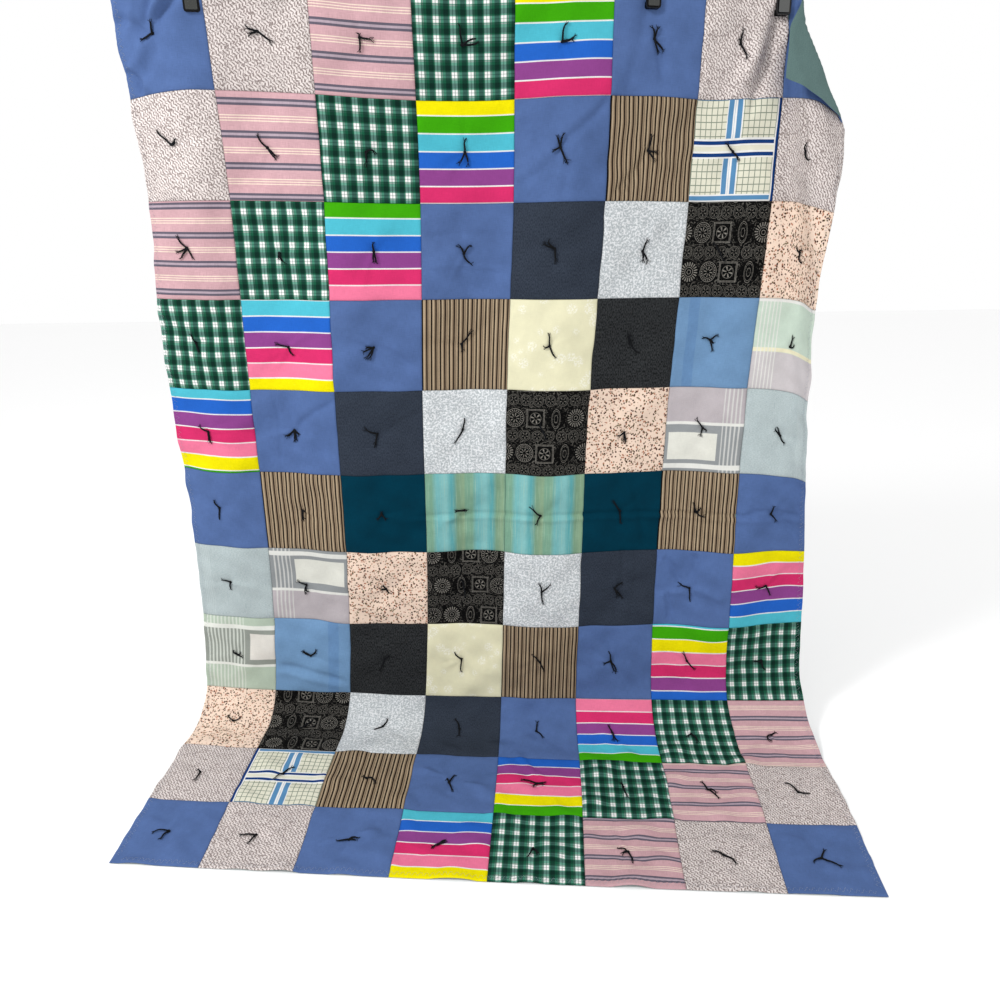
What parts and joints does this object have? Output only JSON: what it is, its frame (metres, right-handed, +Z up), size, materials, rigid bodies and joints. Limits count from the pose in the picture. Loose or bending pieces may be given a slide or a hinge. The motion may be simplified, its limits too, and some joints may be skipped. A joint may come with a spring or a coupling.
{
  "type": "patchwork quilt hung from trouser clips",
  "caption": "Patchwork quilt of plain, striped, checked and printed squares tied with black yarn, hung by clips at its top edge, its tail lying forward on the floor.",
  "frame": {"origin": "centre of the bounding box at floor level: z = 0 is the floor the tail lies on", "axes": "+Z up, the top edge runs along X, and the tail lies forward towards -Y"},
  "size_m": [1.6342, 0.8158, 1.712],
  "materials": {
    "pieced_top": "plain and printed cotton",
    "backing": "plain cotton",
    "clip_plastic": "black, glossy",
    "clip_steel": "sprung steel"
  },
  "bodies": {
    "root": {"pieced_top": "pieced_top", "backing": "backing", "clip_left_front": "clip_plastic", "clip_left_back": "clip_plastic", "clip_left_spring": "clip_steel", "clip_middle_front": "clip_plastic", "clip_middle_back": "clip_plastic", "clip_middle_spring": "clip_steel", "clip_right_front": "clip_plastic", "clip_right_back": "clip_plastic", "clip_right_spring": "clip_steel"}
  },
  "joints": []
}
